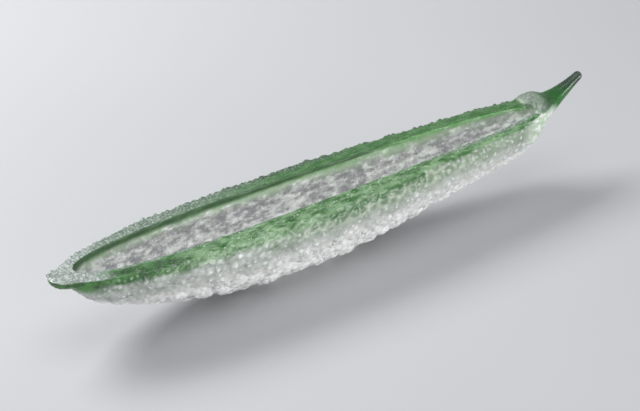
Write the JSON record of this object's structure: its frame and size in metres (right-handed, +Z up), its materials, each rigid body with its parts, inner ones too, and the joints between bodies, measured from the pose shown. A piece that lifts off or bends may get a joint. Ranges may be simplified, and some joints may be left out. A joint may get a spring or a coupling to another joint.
{
  "type": "bitter gourd half in cast glass",
  "caption": "Long slender half of a bitter gourd cast in frosted and green glass: warty rounded belly, level cut face, hollowed trough and a short curved stem.",
  "frame": {"origin": "under the middle of the overall length, on the surface that the gourd stands on", "axes": "+X along the gourd from the blossom tip to the stem, +Z up, out of the cut face"},
  "size_m": [0.3175, 0.0514, 0.0513],
  "materials": {
    "cast_glass": "satin"
  },
  "bodies": {
    "root": {"half_gourd": "cast_glass"}
  },
  "joints": []
}
